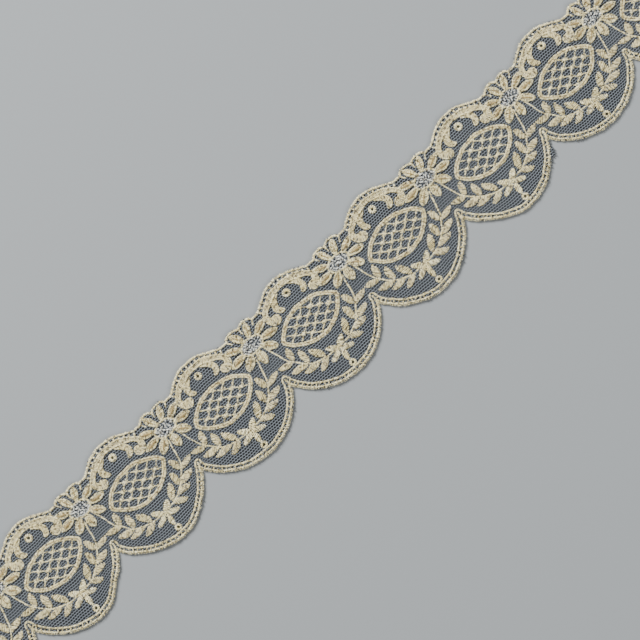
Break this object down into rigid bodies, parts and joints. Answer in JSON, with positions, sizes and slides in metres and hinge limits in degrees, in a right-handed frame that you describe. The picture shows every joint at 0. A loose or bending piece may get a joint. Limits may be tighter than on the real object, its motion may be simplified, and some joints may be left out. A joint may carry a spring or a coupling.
{
  "type": "embroidered mesh trim",
  "caption": "Cut length of ivory embroidered net trim with a scalloped lower edge, an arched heading, daisies, latticed ovals, scrolls and leaf sprays.",
  "frame": {"origin": "middle of the strip's back face, on the surface it lies on", "axes": "+X along the strip, +Y across it towards the arched heading, +Z out of the stitched face"},
  "size_m": [0.378, 0.051, 0.0016],
  "materials": {
    "embroidery_thread": "satin-stitched ivory thread with a soft sheen",
    "net": "fine pale hexagonal net"
  },
  "bodies": {
    "root": {"embroidered_trim": "embroidery_thread"}
  },
  "joints": []
}
